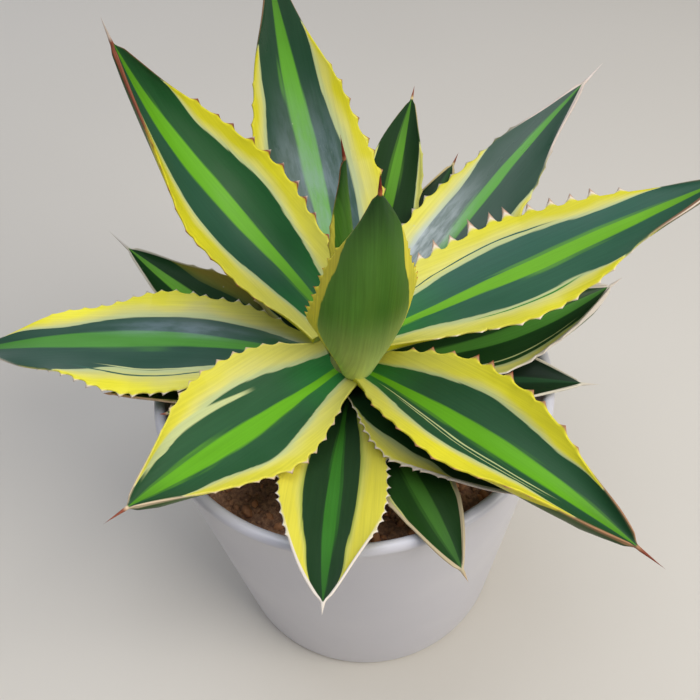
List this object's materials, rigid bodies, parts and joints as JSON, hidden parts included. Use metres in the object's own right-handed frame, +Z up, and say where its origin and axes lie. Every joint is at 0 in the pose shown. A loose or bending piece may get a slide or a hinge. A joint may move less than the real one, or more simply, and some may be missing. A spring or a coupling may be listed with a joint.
{
  "type": "potted agave",
  "caption": "Small variegated agave rosette with thick, toothed, pointed leaves, growing from potting mix in a plain tapered white pot.",
  "frame": {"origin": "centre of the pot's flat foot, on the surface that the pot stands on", "axes": "+Z up through the pot's axis, -Y towards the viewer of the picture, +X to the viewer's right"},
  "size_m": [0.2612, 0.1775, 0.2264],
  "materials": {
    "pot": "satin white glaze, smooth",
    "soil": "moist peat and bark potting mix, rough",
    "stem": "pale green fibrous stem, matte",
    "leaf": "fleshy satin leaf, blue-green bands, lime middle stripe and yellow margins",
    "old_leaf": "fleshy satin leaf, dark green with thin beige horny margins"
  },
  "bodies": {
    "root": {"pot": "pot", "soil": "soil", "stem": "stem", "leaf_spear_front": "leaf", "leaf_spear_rear": "leaf", "leaf_rear": "leaf", "leaf_rear_left": "leaf", "leaf_rear_right": "leaf", "leaf_right": "leaf", "leaf_front_right": "leaf", "leaf_front_left": "leaf", "leaf_left": "leaf", "leaf_front": "leaf", "leaf_old_rear_right": "old_leaf", "leaf_old_right": "old_leaf", "leaf_old_front_right": "old_leaf", "leaf_old_rear_left": "old_leaf", "leaf_old_rear_right_low": "old_leaf", "leaf_old_rear": "old_leaf", "leaf_old_rear_left_low": "old_leaf", "leaf_old_left": "old_leaf", "leaf_old_front_right_low": "old_leaf", "leaf_old_right_low": "old_leaf", "leaf_old_front_left": "old_leaf"}
  },
  "joints": []
}
